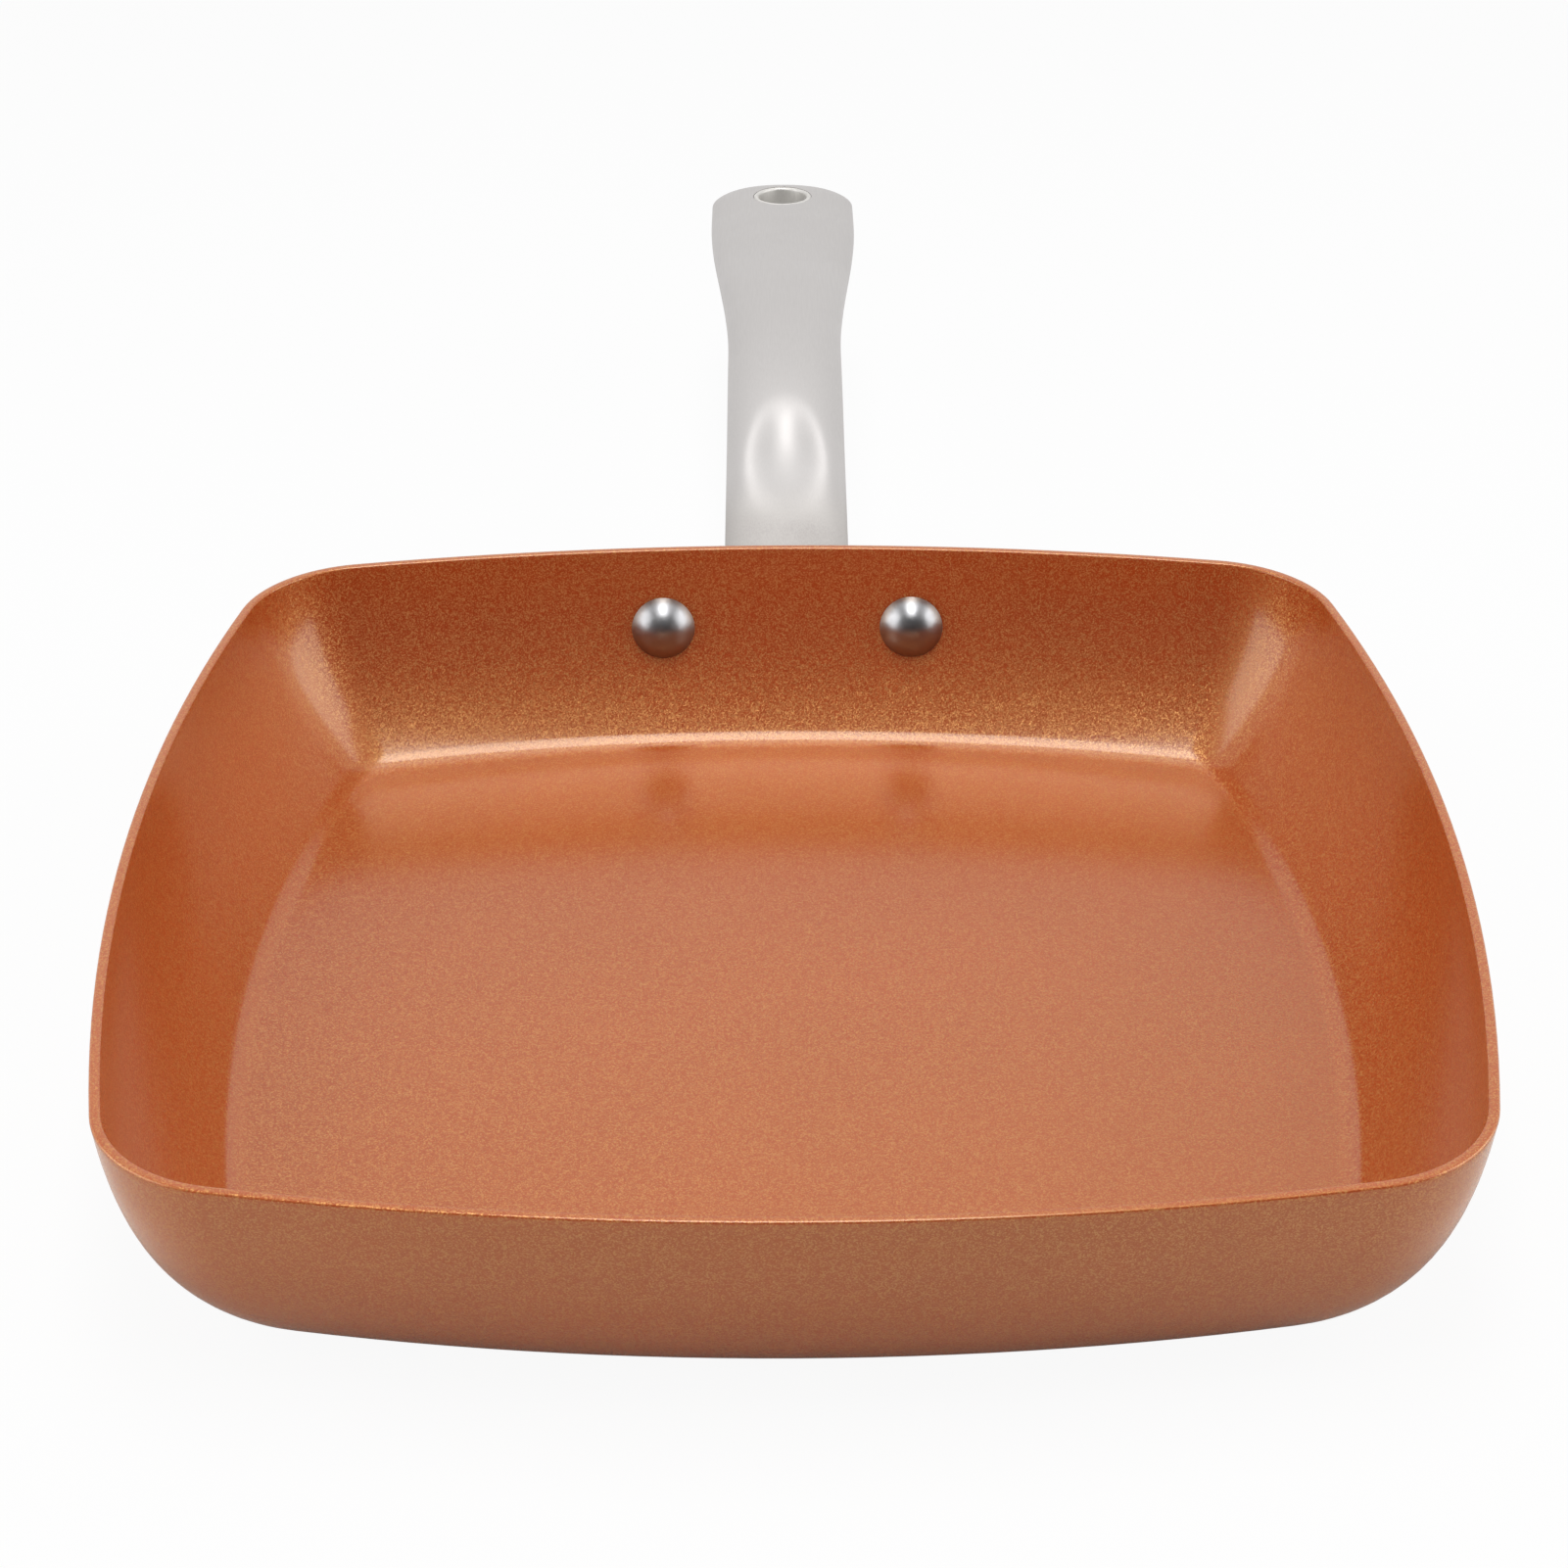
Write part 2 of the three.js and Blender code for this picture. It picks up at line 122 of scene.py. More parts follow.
class HandleSizes(PropertyGroup):
    """The hollow handle and the hole at its end."""

    reach: length("Reach", "Root to tip along the level", 0.171)
    drop: length("Drop", "Seam line at the root below the rim", 0.0125)
    root_angle: angle("Root angle", "How steeply the handle leaves the pan", 30.7)
    root_pull: length("Root pull", "How far the handle keeps its first direction", 0.0587)
    tip_rise: length("Tip rise", "Seam line at the tip above the rim", 0.00475)
    tip_angle: angle("Tip angle", "Slope at the tip", -0.5)
    tip_pull: length("Tip pull", "How far the handle keeps its last direction", 0.0634)
    root_width: length("Root width", "Width at the pan", 0.0224)
    root_taper: length("Root taper", "Length of the taper behind the pan", 0.045)
    waist_width: length("Waist width", "Width of the grip", 0.0219)
    end_width: length("End width", "Width of the paddle end", 0.0304)
    flare: length("Flare", "Length over which the grip widens to the end", 0.077)
    paddle: length("Paddle", "Length of the even paddle end", 0.023)
    crown: length("Crown", "Height of the upper pressing over the seam", 0.0035)
    root_belly: length("Root belly", "Depth of the lower pressing at the pan", 0.006)
    grip_belly: length("Grip belly", "Depth of the lower pressing along the grip", 0.01)
    end_belly: length("End belly", "Depth of the lower pressing at the end", 0.0065)
    end_round: length("End round", "How far back the end's rounding runs, seen from above", 0.01)
    tip_round: length("Tip round", "Rounding of the tip seen from the side", 0.006)
    sheet: length("Sheet", "Thickness of the pressed steel", 0.001)
    seam: length("Seam", "Open width of the joint line between the pressings", 0.00012)
    root_weld: length("Root weld", "Radius of the weld at the pan", 0.0012)
    dimple_place: length("Dimple place", "Middle of the thumb dimple from the root", 0.036)
    dimple_length: length("Dimple length", "Length of the thumb dimple", 0.03)
    dimple_width: length("Dimple width", "Width of the thumb dimple", 0.0132)
    dimple_depth: length("Dimple depth", "Depth of the thumb dimple", 0.0016)
    hole: length("Hole", "Diameter of the hanging hole", 0.0104)
    hole_place: length("Hole place", "Middle of the hanging hole from the tip", 0.012)
    eyelet_wall: length("Eyelet wall", "Thickness of the tube that lines the hole", 0.0011)


class FastenerSizes(PropertyGroup):
    """Rivets and the bracket that they hold."""

    rivet_drop: length("Rivet drop", "Rivets below the rim", 0.0145)
    rivet_spacing: length("Rivet spacing", "Between the two rivets", 0.0442)
    head: length("Head", "Diameter of a rivet's head inside the pan", 0.0112)
    head_height: length("Head height", "Height of a rivet's head", 0.0034)
    tail: length("Tail", "Diameter of a rivet's closed end", 0.0086)
    tail_height: length("Tail height", "Height of a rivet's closed end", 0.0018)
    shank: length("Shank", "Diameter of a rivet's shank", 0.005)
    bracket_height: length("Bracket height", "Height of the bracket's plate", 0.019)
    bracket: length("Bracket", "Thickness of the bracket's plate", 0.0022)
    seat: length("Seat", "Gap between the wall and the bracket", 0.0003)


class Finishes(PropertyGroup):
    """Colours of the coating and the metals."""

    coating: colour("Coating", "Body colour of the copper-coloured coating", (0.322, 0.035, 0.006))
    flake: colour("Flake", "Colour of the fine golden flakes in the coating", (1.0, 0.93, 0.52))
    varnish: colour("Varnish", "Tint of the clear coat", (1.0, 0.8, 0.5))
    handle_steel: colour("Handle steel", "Satin steel of the handle", (0.55, 0.53, 0.52))
    # The root's steel is darker than the handle's: painted shade at the handle's root
    root_shade_steel: colour("Root steel", "Steel of the handle's root, dulled by the weld", (0.46, 0.44, 0.425))
    # The eyelet's steel is lighter than the handle's: painted light that makes the tube in the hole look
    # lit
    eyelet_painted_light_steel: colour("Eyelet steel", "Dull steel of the tube in the hanging hole", (0.66, 0.645, 0.62))
    bracket_steel: colour("Bracket steel", "Brushed steel of the bracket", (0.55, 0.54, 0.53))
    rivet_steel: colour("Rivet steel", "Polished steel of the rivets", (0.36, 0.36, 0.37))
    floor: colour("Floor", "Pale studio floor", (0.66, 0.66, 0.66))


class StudioSettings(PropertyGroup):
    """Camera and lamps."""

    lens: FloatProperty(
        name="Lens", description="Focal length on a 36 mm sensor", default=78.08, unit="CAMERA"
    )
    distance: length("Distance", "Camera to the point that it looks at", 0.52498)
    elevation: angle("Elevation", "Height of the camera over the level", 29.12)
    turn: angle("Turn", "Turn of the camera about the pan", -0.229)
    roll: angle("Roll", "Tilt of the camera about its own line of sight", -0.155)
    aim: position(
        "Aim", "Point in the rim's plane that the camera looks at", (-0.00098, 0.01301, PAN_HIGH.z)
    )
    side_power: power("Side lamps", "Power of each side lamp", 3.35)
    top_power: power("Top lamp", "Power of the lamp overhead", 6.1)
    back_power: power("Back lamp", "Power of the lamp behind", 0.66)


# Curves that the pan and the handle share

def lerp(a, b, share):
    return a + (b - a) * share


def smooth_step(value, low, high):
    share = min(max((value - low) / (high - low), 0.0), 1.0)
    return share * share * (3.0 - 2.0 * share)


def on_curve(knots, share):
    """Point of a cubic curve from its four knots."""
    a, b, c, d = knots
    rest = 1.0 - share
    return a * rest**3 + b * (3 * rest * rest * share) + c * (3 * rest * share * share) + d * share**3


def along_curve(knots, share):
    """Direction of a cubic curve."""
    a, b, c, d = knots
    rest = 1.0 - share
    return ((b - a) * (rest * rest) + (c - b) * (2 * rest * share) + (d - c) * (share * share)).normalized()


def solve(rising, target):
    """Where a function that rises between 0 and 1 crosses a target."""
    low, high = 0.0, 1.0
    for _ in range(SOLVE_STEPS):
        middle = (low + high) / 2
        if rising(middle) < target:
            low = middle
        else:
            high = middle
    return (low + high) / 2


# Pan wall: the outer profile runs from the rim (0) to the edge of the base (1)

SIDE_STEPS = 26
CORNER_STEPS = 16
QUARTER = SIDE_STEPS + CORNER_STEPS
RING = 4 * QUARTER


def wall_knots(pan):
    """Outside of the wall, from the rim to the edge of the base."""
    rim = pan.rim_width / 2
    base = pan.base_width / 2
    lean = Vector((math.sin(pan.rim_lean), math.cos(pan.rim_lean)))
    top = Vector((rim, pan.height))
    return top, top - lean * pan.rim_pull, Vector((base + pan.base_pull, 0.0)), Vector((base, 0.0))


def inner_knots(pan):
    """Inside of the wall, from below the rim to where its line meets the floor."""
    lean = Vector((math.sin(pan.rim_lean), math.cos(pan.rim_lean)))
    rise = Vector((math.cos(pan.foot_angle), math.sin(pan.foot_angle)))
    top = Vector((pan.rim_width / 2 - pan.wall, pan.height - pan.rim_ease))
    foot = Vector((pan.foot_width / 2, pan.floor))
    return top, top - lean * pan.inner_pull, foot + rise * pan.foot_pull, foot


def curve_normal(knots, share):
    """Direction square to a wall's curve, out of the pan."""
    way = along_curve(knots, share)
    return Vector((-way.y, way.x))


def curve_point(knots, share, outwards):
    """Half width and height on a wall's curve, moved square to it."""
    return on_curve(knots, share) + curve_normal(knots, share) * outwards


def at_height(knots, height, outwards=0.0):
    """Share of a wall's curve where it comes down to a height."""
    return solve(lambda share: -curve_point(knots, share, outwards).y, -height)


def wall_depth(pan, height):
    """Thickness of the wall at a height, square to its outside."""
    outside, inside = wall_knots(pan), inner_knots(pan)
    outer, inner = at_height(outside, height), at_height(inside, height)
    return (on_curve(outside, outer).x - on_curve(inside, inner).x) * curve_normal(outside, outer).x


def outer_radii(pan, own, half):
    """Side and corner radius of the outline that is own wide outside, moved to another half width."""
    down = (pan.rim_width / 2 - own) / ((pan.rim_width - pan.base_width) / 2)
    moved = half - own
    bow = lerp(pan.rim_bow, pan.base_bow, down)
    corner = lerp(pan.rim_corner, pan.base_corner, down)
    return bow + moved, corner + moved


def inner_radii(pan, half):
    """Side and corner radius of the outline inside at a half width."""
    rim = pan.rim_width / 2 - pan.wall
    down = (rim - half) / (rim - pan.foot_width / 2)
    bow = lerp(pan.rim_bow, pan.base_bow, down) - pan.wall
    return bow, lerp(pan.rim_corner - pan.wall, pan.foot_corner, down)


def square_ring(radii, half, height):
    """Where each numbered point of a ring lies: four shallow arcs joined by corner arcs."""
    bow, corner = radii
    shift = bow - half
    across = bow - corner
    centre = (math.sqrt(2 * across * across - shift * shift) - shift) / 2
    swing = math.atan2(centre, centre + shift)

    def where(number):
        quarter, step = divmod(number, QUARTER)
        if step < SIDE_STEPS:
            turn = swing * (2 * step / SIDE_STEPS - 1)
            point = Vector((bow * math.cos(turn) - shift, bow * math.sin(turn), height))
        else:
            turn = lerp(swing, math.pi / 2 - swing, (step - SIDE_STEPS) / CORNER_STEPS)
            point = Vector((centre + corner * math.cos(turn), centre + corner * math.sin(turn), height))
        return Matrix.Rotation(quarter * math.pi / 2, 3, "Z") @ point

    return where


def round_ring(pan, radius, height):
    """A circle whose points stand at the angles of the base's outline."""
    base = pan.base_width / 2
    outline = square_ring(outer_radii(pan, base, base), base, height)

    def where(number):
        point = outline(number)
        return Vector((*(point.xy.normalized() * radius), height))

    return where


def back_wall(pan, x, height, outwards):
    """Point on the outside of the back wall, moved outwards, and the direction square to it."""
    knots = wall_knots(pan)
    share = at_height(knots, height, outwards)
    half = curve_point(knots, share, outwards).x
    normal = curve_normal(knots, share)
    bow, _ = outer_radii(pan, on_curve(knots, share).x, half)
    turn = math.asin(x / bow)
    point = Vector((x, bow * math.cos(turn) - (bow - half), height))
    return point, Vector((math.sin(turn) * normal.x, math.cos(turn) * normal.x, normal.y))


# Building with rings

def first_ring(bm, points, where):
    """A closed ring with a face over it; each point keeps its number."""
    number = bm.verts.layers.int.new("number")
    made = bmesh.ops.create_circle(bm, cap_ends=True, segments=points, radius=1.0)
    for i, vert in enumerate(made["verts"]):
        vert[number] = i
        vert.co = where(i)
    return list(bm.edges)


def next_ring(bm, edges, where):
    """Draws the open ring out into a new one and puts its points in place."""
    number = bm.verts.layers.int["number"]
    drawn = bmesh.ops.extrude_edge_only(bm, edges=edges)["geom"]
    verts = {item for item in drawn if isinstance(item, bmesh.types.BMVert)}
    for vert in verts:
        vert.co = where(vert[number])
    return [
        item for item in drawn
        if isinstance(item, bmesh.types.BMEdge) and all(vert in verts for vert in item.verts)
    ]


def draw_rings(bm, points, rings):
    """A closed skin through rings, from the first ring's face to the last one's."""
    edges = first_ring(bm, points, rings[0])
    for where in rings[1:]:
        edges = next_ring(bm, edges, where)
    bmesh.ops.edgeloop_fill(bm, edges=edges)


def turned(bm, profile, axis_point, axis, steps):
    """Spins a profile of (radius, height) points about an axis."""
    side = axis.orthogonal().normalized()
    verts = [bm.verts.new(axis_point + side * radius + axis * height) for radius, height in profile]
    edges = [bm.edges.new(pair) for pair in zip(verts, verts[1:])]
    bmesh.ops.spin(
        bm, geom=verts + edges, cent=axis_point, axis=axis, angle=2 * math.pi, steps=steps, use_merge=True
    )


def make_piece(bm, name, node, material):
    """Turns the mesh into a piece of the part that stands for a solid."""
    bmesh.ops.remove_doubles(bm, verts=bm.verts, dist=WELD)
    bmesh.ops.recalc_face_normals(bm, faces=bm.faces)
    mesh = bpy.data.meshes.new(name)
    bm.to_mesh(mesh)
    bm.free()
    mesh.shade_smooth()
    mesh.set_sharp_from_angle(angle=SHARP)
    mesh.materials.append(material)
    piece = bpy.data.objects.new(name, mesh)
    bpy.context.scene.collection.objects.link(piece)
    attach(piece, "root")
    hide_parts(node)


# Pan

WALL_STEPS = 26
FILLET_STEPS = 14
GROOVE_STEPS = 8
EDGE_STEPS = 4


def base_rings(pan):
    """Underside from its middle to the outline, with the turned rings."""
    rings = [round_ring(pan, pan.groove_first / 2, 0.0)]
    for i in range(pan.groove_count):
        middle = pan.groove_first + i * pan.groove_pitch
        for step in range(GROOVE_STEPS + 1):
            across = 2 * step / GROOVE_STEPS - 1
            height = pan.groove_depth * (1 + math.cos(math.pi * across)) / 2
            rings.append(round_ring(pan, middle + pan.groove_width * across, height))
    base = pan.base_width / 2
    rings.append(square_ring(outer_radii(pan, base, base - pan.wall), base - pan.wall, 0.0))
    return rings


def rim_rings(pan):
    """Over the rim, with both edges eased."""
    rings = []
    outer = pan.rim_width / 2
    inner = outer - pan.wall
    ease = pan.rim_ease
    for middle, start in ((outer - ease, 0.0), (inner + ease, math.pi / 2)):
        for step in range(EDGE_STEPS + 1):
            turn = start + math.pi / 2 * step / EDGE_STEPS
            half = middle + ease * math.cos(turn)
            height = pan.height - ease + ease * math.sin(turn)
            rings.append(square_ring(outer_radii(pan, outer, half), half, height))
    return rings


def inside_rings(pan):
    """Inner wall, fillet and floor."""
    knots = inner_knots(pan)
    start = at_height(knots, pan.floor + pan.fillet, -pan.fillet)
    points = [on_curve(knots, start * step / WALL_STEPS) for step in range(1, WALL_STEPS + 1)]
    centre = curve_point(knots, start, -pan.fillet)
    normal = curve_normal(knots, start)
    first = math.atan2(normal.y, normal.x)
    for step in range(1, FILLET_STEPS + 1):
        turn = lerp(first, -math.pi / 2, step / FILLET_STEPS)
        points.append(centre + Vector((math.cos(turn), math.sin(turn))) * pan.fillet)
    points.append(Vector((centre.x - pan.wall, pan.floor)))
    rings = [square_ring(inner_radii(pan, point.x), point.x, point.y) for point in points]
    rings.append(round_ring(pan, pan.base_width / 4, pan.floor))
    return rings


class SQUAREPAN_OT_body(Operator):
    """Draw the pan from its base over the rim to the floor inside"""

    bl_idname = "square_pan.body"
    bl_label = "Pan Body"

    def execute(self, context):
        pan = context.scene.pan_sizes
        rings = base_rings(pan)
        for step in range(WALL_STEPS, 0, -1):
            point = on_curve(wall_knots(pan), step / WALL_STEPS)
            rings.append(square_ring(outer_radii(pan, point.x, point.x), point.x, point.y))
        rings += rim_rings(pan)
        rings += inside_rings(pan)
        bm = bmesh.new()
        draw_rings(bm, RING, rings)
        material = coating_material(context.scene.finishes)
        make_piece(bm, "coated_pan", "pan_body", material)
        return {"FINISHED"}


# Rivets and bracket

DOME_STEPS = 14
ROUND_STEPS = 64
PLATE_STEPS = (48, 20)
PLATE_EDGE = math.radians(60.0)
PLATE_EASE_STEPS = 3


def dome(diameter, height, foot, sign):
    """Low dome from its top to its foot."""
    half = diameter / 2
    radius = (half * half + height * height) / (2 * height)
    opening = math.asin(half / radius)
    turns = [opening * step / DOME_STEPS for step in range(DOME_STEPS + 1)]
    heights = [height - radius * (1 - math.cos(turn)) for turn in turns]
    return [(radius * math.sin(turn), foot + sign * up) for turn, up in zip(turns, heights)]


class SQUAREPAN_OT_rivets(Operator):
    """Turn the two rivets and set them square to the back wall"""

    bl_idname = "square_pan.rivets"
    bl_label = "Rivets"

    def execute(self, context):
        pan = context.scene.pan_sizes
        fasteners = context.scene.fastener_sizes
        material = rivet_material(context.scene.finishes)
        height = pan.height - fasteners.rivet_drop
        head_foot = -wall_depth(pan, height)
        tail_foot = fasteners.bracket + fasteners.seat
        profile = dome(fasteners.head, fasteners.head_height, head_foot, -1)
        profile += [(fasteners.shank / 2, head_foot), (fasteners.shank / 2, tail_foot)]
        profile += reversed(dome(fasteners.tail, fasteners.tail_height, tail_foot, 1))
        for name, side in (("rivet_left", -1), ("rivet_right", 1)):
            x = side * fasteners.rivet_spacing / 2
            seat, outwards = back_wall(pan, x, height, 0.0)
            bm = bmesh.new()
            turned(bm, profile, seat, outwards, ROUND_STEPS)
            make_piece(bm, "polished_" + name, name, material)
        return {"FINISHED"}


class SQUAREPAN_OT_bracket(Operator):
    """Bend the bracket's plate to the outside of the back wall"""

    bl_idname = "square_pan.bracket"
    bl_label = "Bracket"

    def execute(self, context):
        pan = context.scene.pan_sizes
        fasteners = context.scene.fastener_sizes
        middle, outwards = back_wall(pan, 0.0, pan.height - fasteners.rivet_drop, 0.0)
        upright = outwards.cross(Vector((-1.0, 0.0, 0.0)))
        round_end = fasteners.bracket_height / 2
        bm = bmesh.new()
        bmesh.ops.create_grid(bm, x_segments=PLATE_STEPS[0], y_segments=PLATE_STEPS[1], size=1.0)
        for vert in bm.verts:
            turn = vert.co.y * math.pi / 2
            x = vert.co.x * (fasteners.rivet_spacing / 2 + round_end * math.cos(turn))
            height = middle.z + upright.z * round_end * math.sin(turn)
            vert.co = back_wall(pan, x, height, fasteners.seat)[0]
        bmesh.ops.recalc_face_normals(bm, faces=bm.faces)
        if any(face.normal.y > 0 for face in bm.faces):
            bmesh.ops.reverse_faces(bm, faces=bm.faces)
        bmesh.ops.solidify(bm, geom=bm.faces[:], thickness=fasteners.bracket)
        edges = [edge for edge in bm.edges if edge.calc_face_angle(0.0) > PLATE_EDGE]
        bmesh.ops.bevel(
            bm, geom=edges, offset=fasteners.bracket / 4, offset_type="OFFSET",
            segments=PLATE_EASE_STEPS, profile=0.5, affect="EDGES", material=-1,
        )
        material = bracket_material(context.scene.finishes)
        make_piece(bm, "riveted_bracket", "handle_bracket", material)
        return {"FINISHED"}


# Handle

SLIDE_STEPS = 8
SPINE_MARKS = 400
SPINE_STEPS = 90
TIP_STEPS = 16
SECTION_STEPS = 32
SQUARENESS = 2.3
DIMPLE_EGG = 0.22
DIMPLE_SOFTNESS = 0.5


def spine_knots(pan, fasteners, handle):
    """The seam line seen from the side."""
    root, outwards = back_wall(pan, 0.0, pan.height - handle.drop, 0.0)
    start = root + outwards * (fasteners.seat + fasteners.bracket)
    tip = Vector((0.0, start.y + handle.reach, pan.height + handle.tip_rise))
    root_way = Vector((0.0, math.cos(handle.root_angle), math.sin(handle.root_angle)))
    tip_way = Vector((0.0, math.cos(handle.tip_angle), math.sin(handle.tip_angle)))
    return start, start + root_way * handle.root_pull, tip - tip_way * handle.tip_pull, tip


class Spine:
    """Distances along the seam line."""

    def __init__(self, knots):
        self.knots = knots
        self.marks = [0.0]
        points = [on_curve(knots, i / SPINE_MARKS) for i in range(SPINE_MARKS + 1)]
        for a, b in zip(points, points[1:]):
            self.marks.append(self.marks[-1] + (b - a).length)
        self.length = self.marks[-1]

    def at(self, distance):
        """Point, direction and upward normal; before the root the line runs straight."""
        inside = min(max(distance, 0.0), self.length)
        i = min(max(bisect_left(self.marks, inside), 1), SPINE_MARKS)
        low, high = self.marks[i - 1], self.marks[i]
        share = (i - 1 + (inside - low) / (high - low)) / SPINE_MARKS
        way = along_curve(self.knots, share)
        point = on_curve(self.knots, share) + way * (distance - inside)
        return point, way, Vector((0.0, -way.z, way.y))


def round_off(from_edge, radius):
    """Quarter round: 0 at the edge, 1 from one radius inwards."""
    short = max(0.0, 1.0 - from_edge / radius)
    return math.sqrt(max(0.0, 1.0 - short * short))


def section(handle, spine, distance, inset):
    """Half width, crown and belly, drawn in by an inset."""
    flare_end = spine.length - handle.paddle
    flare = smooth_step(distance, flare_end - handle.flare, flare_end)
    taper = smooth_step(distance, 0.0, handle.root_taper)
    width = lerp(handle.root_width, handle.waist_width, taper)
    width += (handle.end_width - handle.waist_width) * flare
    belly = lerp(handle.root_belly, handle.grip_belly, taper)
    belly += (handle.end_belly - handle.grip_belly) * flare
    from_tip = spine.length - inset - distance
    plan = round_off(from_tip, handle.end_round - inset)
    side = round_off(from_tip, handle.tip_round - inset)
    return (width / 2 - inset) * plan, (handle.crown - inset) * side, (belly - inset) * side


def dimple(handle, x, distance):
    """Depth of the egg-shaped dimple: a shallow bowl with a soft edge."""
    along = (distance - handle.dimple_place) / (handle.dimple_length / 2)
    across = x / ((handle.dimple_width / 2) * (1 - DIMPLE_EGG * along))
    bowl = 1.0 - along * along - across * across
    edge = min(max(bowl + DIMPLE_SOFTNESS, 0.0), 2 * DIMPLE_SOFTNESS)
    return handle.dimple_depth * max(bowl, edge * edge / (4 * DIMPLE_SOFTNESS))


def shell_point(handle, spine, sign, distance, inset, turn):
    """Point of a pressing: sign 1 is the upper one, turn runs across it from edge to edge."""
    point, _, up = spine.at(distance)
    half, crown, belly = section(handle, spine, distance, inset)
    exponent = 2 / SQUARENESS
    across = math.copysign(abs(math.cos(turn)) ** exponent, math.cos(turn))
    rise = abs(math.sin(turn)) ** exponent
    x = -half * across
    edge = handle.seam / 2
    height = lerp(edge, max(crown if sign > 0 else belly, edge), rise)
    if sign > 0:
        height -= dimple(handle, x, distance)
    return Vector((x, 0.0, 0.0)) + point + up * (sign * height)


def station(handle, spine, share, inset):
    """Distance along the spine: even along the grip, by angle round the end."""
    end = handle.end_round - inset
    straight = spine.length - inset - end
    step = share * (SPINE_STEPS + TIP_STEPS)
    first = 2 * handle.root_weld + handle.crown
    if step <= SPINE_STEPS:
        return lerp(first, straight, step / SPINE_STEPS)
    return straight + end * math.sin(math.pi / 2 * (step - SPINE_STEPS) / TIP_STEPS)


def shell_ring(handle, spine, sign, share):
    """Closed ring round a pressing's wall: over the outside and back along the inside."""
    outer = station(handle, spine, share, 0.0)
    inner = station(handle, spine, share, handle.sheet)

    def where(number):
        if number <= SECTION_STEPS:
            return shell_point(handle, spine, sign, outer, 0.0, math.pi * number / SECTION_STEPS)
        turn = math.pi * (2 * SECTION_STEPS + 1 - number) / SECTION_STEPS
        return shell_point(handle, spine, sign, inner, handle.sheet, turn)

    return where


def root_ring(pan, fasteners, handle, spine, sign, step):
    """Ring of the weld that runs out onto the bracket's plate."""
    turn_out = math.pi / 2 * step / EDGE_STEPS
    run_out = handle.root_weld * (1 - math.sin(turn_out))
    lift = handle.root_weld * (1 - math.cos(turn_out))
    plate = fasteners.seat + fasteners.bracket
    _, way, _ = spine.at(0.0)

    def where(number):
        if number <= SECTION_STEPS:
            point = shell_point(handle, spine, sign, 0.0, -run_out, math.pi * number / SECTION_STEPS)
        else:
            turn = math.pi * (2 * SECTION_STEPS + 1 - number) / SECTION_STEPS
            point = shell_point(handle, spine, sign, 0.0, handle.sheet, turn)
        for _ in range(SLIDE_STEPS):
            on_plate, _ = back_wall(pan, point.x, point.z, plate)
            point -= way * (point.y - on_plate.y)
        return point + way * lift

    return where


def cut_hole(bm, spine, handle, radius):
    """Drills the hanging hole through a pressing."""
    point, _, up = spine.at(spine.length - handle.hole_place)
    drill = bmesh.new()
    bmesh.ops.create_cone(
        drill, cap_ends=True, segments=ROUND_STEPS, radius1=radius, radius2=radius,
        depth=4 * handle.grip_belly,
        matrix=Matrix.Translation(point) @ up.to_track_quat("Z", "Y").to_matrix().to_4x4(),
    )
    bmesh.ops.remove_doubles(bm, verts=bm.verts, dist=WELD)
    bmesh.ops.recalc_face_normals(bm, faces=bm.faces)
    objects = []
    for name, shape in (("blank", bm), ("drill", drill)):
        mesh = bpy.data.meshes.new(name)
        shape.to_mesh(mesh)
        shape.free()
        objects.append(bpy.data.objects.new(name, mesh))
        bpy.context.scene.collection.objects.link(objects[-1])
    blank, drill_object = objects
    cut = blank.modifiers.new("hole", "BOOLEAN")
    cut.operation = "DIFFERENCE"
    cut.solver = "EXACT"
    cut.object = drill_object
    graph = bpy.context.evaluated_depsgraph_get()
    drilled = bmesh.new()
    drilled.from_object(blank, graph)
    for item in objects:
        mesh = item.data
        bpy.data.objects.remove(item)
        bpy.data.meshes.remove(mesh)
    return drilled


class SQUAREPAN_OT_handle(Operator):
    """Draw the two pressings of the hollow handle from the bracket to the tip"""

    bl_idname = "square_pan.handle"
    bl_label = "Handle"

    def execute(self, context):
        scene = context.scene
        pan, fasteners, handle = scene.pan_sizes, scene.fastener_sizes, scene.handle_sizes
        spine = Spine(spine_knots(pan, fasteners, handle))
        material = handle_material(scene)
        steps = SPINE_STEPS + TIP_STEPS
        for name, node, sign in (
            ("handle_upper_pressing", "handle_upper_shell", 1),
            ("handle_lower_pressing", "handle_lower_shell", -1),
        ):
            rings = [root_ring(pan, fasteners, handle, spine, sign, step) for step in range(EDGE_STEPS + 1)]
            rings += [shell_ring(handle, spine, sign, step / steps) for step in range(steps + 1)]
            bm = bmesh.new()
            draw_rings(bm, 2 * SECTION_STEPS + 2, rings)
            drilled = cut_hole(bm, spine, handle, handle.hole / 2 + handle.eyelet_wall)
            make_piece(drilled, name, node, material)
        return {"FINISHED"}


